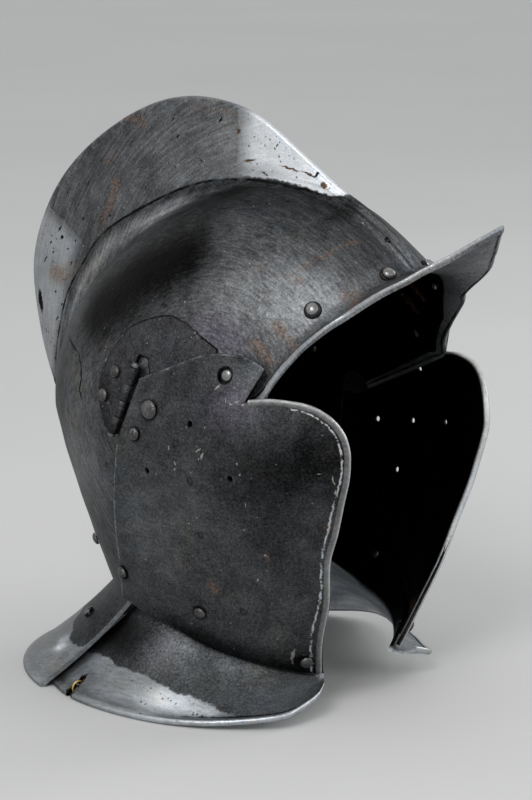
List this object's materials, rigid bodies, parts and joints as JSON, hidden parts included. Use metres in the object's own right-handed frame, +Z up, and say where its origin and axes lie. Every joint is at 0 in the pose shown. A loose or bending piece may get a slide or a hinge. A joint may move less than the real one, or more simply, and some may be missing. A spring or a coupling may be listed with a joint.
{
  "type": "burgonet helmet",
  "caption": "Open-faced plate helmet with a tall comb, pointed peak, hinged cheekpieces, flared neck guard and a hanging ring at the rim",
  "frame": {"origin": "middle of the footprint on the plane that the neck rim stands on", "axes": "+Z up, the peak points along -Y, the wearer's left is +X"},
  "size_m": [0.2026, 0.296, 0.2818],
  "materials": {
    "blackened_steel": "blackened, hammer-rough, worn bright on the comb and edges",
    "leaf_steel": "blackened, slightly polished",
    "guard_steel": "part blackened, part bare steel with old scratches",
    "bright_steel": "worn bright",
    "rivet_steel": "dark domed heads, worn on top",
    "ring_brass": "dull old brass"
  },
  "bodies": {
    "skull": {"skull": "blackened_steel", "nape_plate": "guard_steel", "nape_rivet_right": "rivet_steel", "nape_rivet_middle": "rivet_steel", "nape_rivet_left": "rivet_steel", "nape_lining_rivet_right": "rivet_steel", "nape_lining_rivet_left": "rivet_steel", "right_brow_washer_rear": "rivet_steel", "right_brow_washer_front": "rivet_steel", "right_brow_rivet_rear": "bright_steel", "right_brow_rivet_front": "bright_steel", "right_locating_stud": "bright_steel", "right_hinge_skull_leaf": "leaf_steel", "right_hinge_skull_rivet_upper": "rivet_steel", "right_hinge_skull_rivet_lower": "rivet_steel", "right_hinge_pin": "bright_steel", "left_brow_washer_rear": "rivet_steel", "left_brow_washer_front": "rivet_steel", "left_brow_rivet_rear": "bright_steel", "left_brow_rivet_front": "bright_steel", "left_locating_stud": "bright_steel", "left_hinge_skull_leaf": "leaf_steel", "left_hinge_skull_rivet_upper": "rivet_steel", "left_hinge_skull_rivet_lower": "rivet_steel", "left_hinge_pin": "bright_steel"},
    "right_cheek": {"right_cheekpiece": "blackened_steel", "right_hinge_cheek_leaf": "leaf_steel", "right_hinge_cheek_rivet_upper": "rivet_steel", "right_hinge_cheek_rivet_lower": "rivet_steel", "right_cheek_lining_rivet": "rivet_steel", "right_neck_flange": "guard_steel", "right_flange_rivet_rear": "rivet_steel", "right_flange_rivet_front": "rivet_steel"},
    "left_cheek": {"left_cheekpiece": "blackened_steel", "left_hinge_cheek_leaf": "leaf_steel", "left_hinge_cheek_rivet_upper": "rivet_steel", "left_hinge_cheek_rivet_lower": "rivet_steel", "left_cheek_lining_rivet": "rivet_steel", "left_neck_flange": "guard_steel", "left_flange_rivet_rear": "rivet_steel", "left_flange_rivet_front": "rivet_steel"},
    "ring": {"brass_ring": "ring_brass"}
  },
  "joints": [
    {"name": "right_cheek_hinge", "type": "hinge", "parent": "skull", "child": "right_cheek", "pos_m": [-0.0836, 0.00895, 0.14862], "axis": [-0.1225, 0.3337, -0.9347], "range_deg": [0, 70]},
    {"name": "left_cheek_hinge", "type": "hinge", "parent": "skull", "child": "left_cheek", "pos_m": [0.0836, 0.00895, 0.14862], "axis": [-0.1225, -0.3337, 0.9347], "range_deg": [0, 70]},
    {"name": "ring_swing", "type": "hinge", "parent": "right_cheek", "child": "ring", "pos_m": [-0.09004, 0.03427, 0.00515], "axis": [0.3481, 0.9375, 0], "range_deg": [-20, 30]}
  ]
}
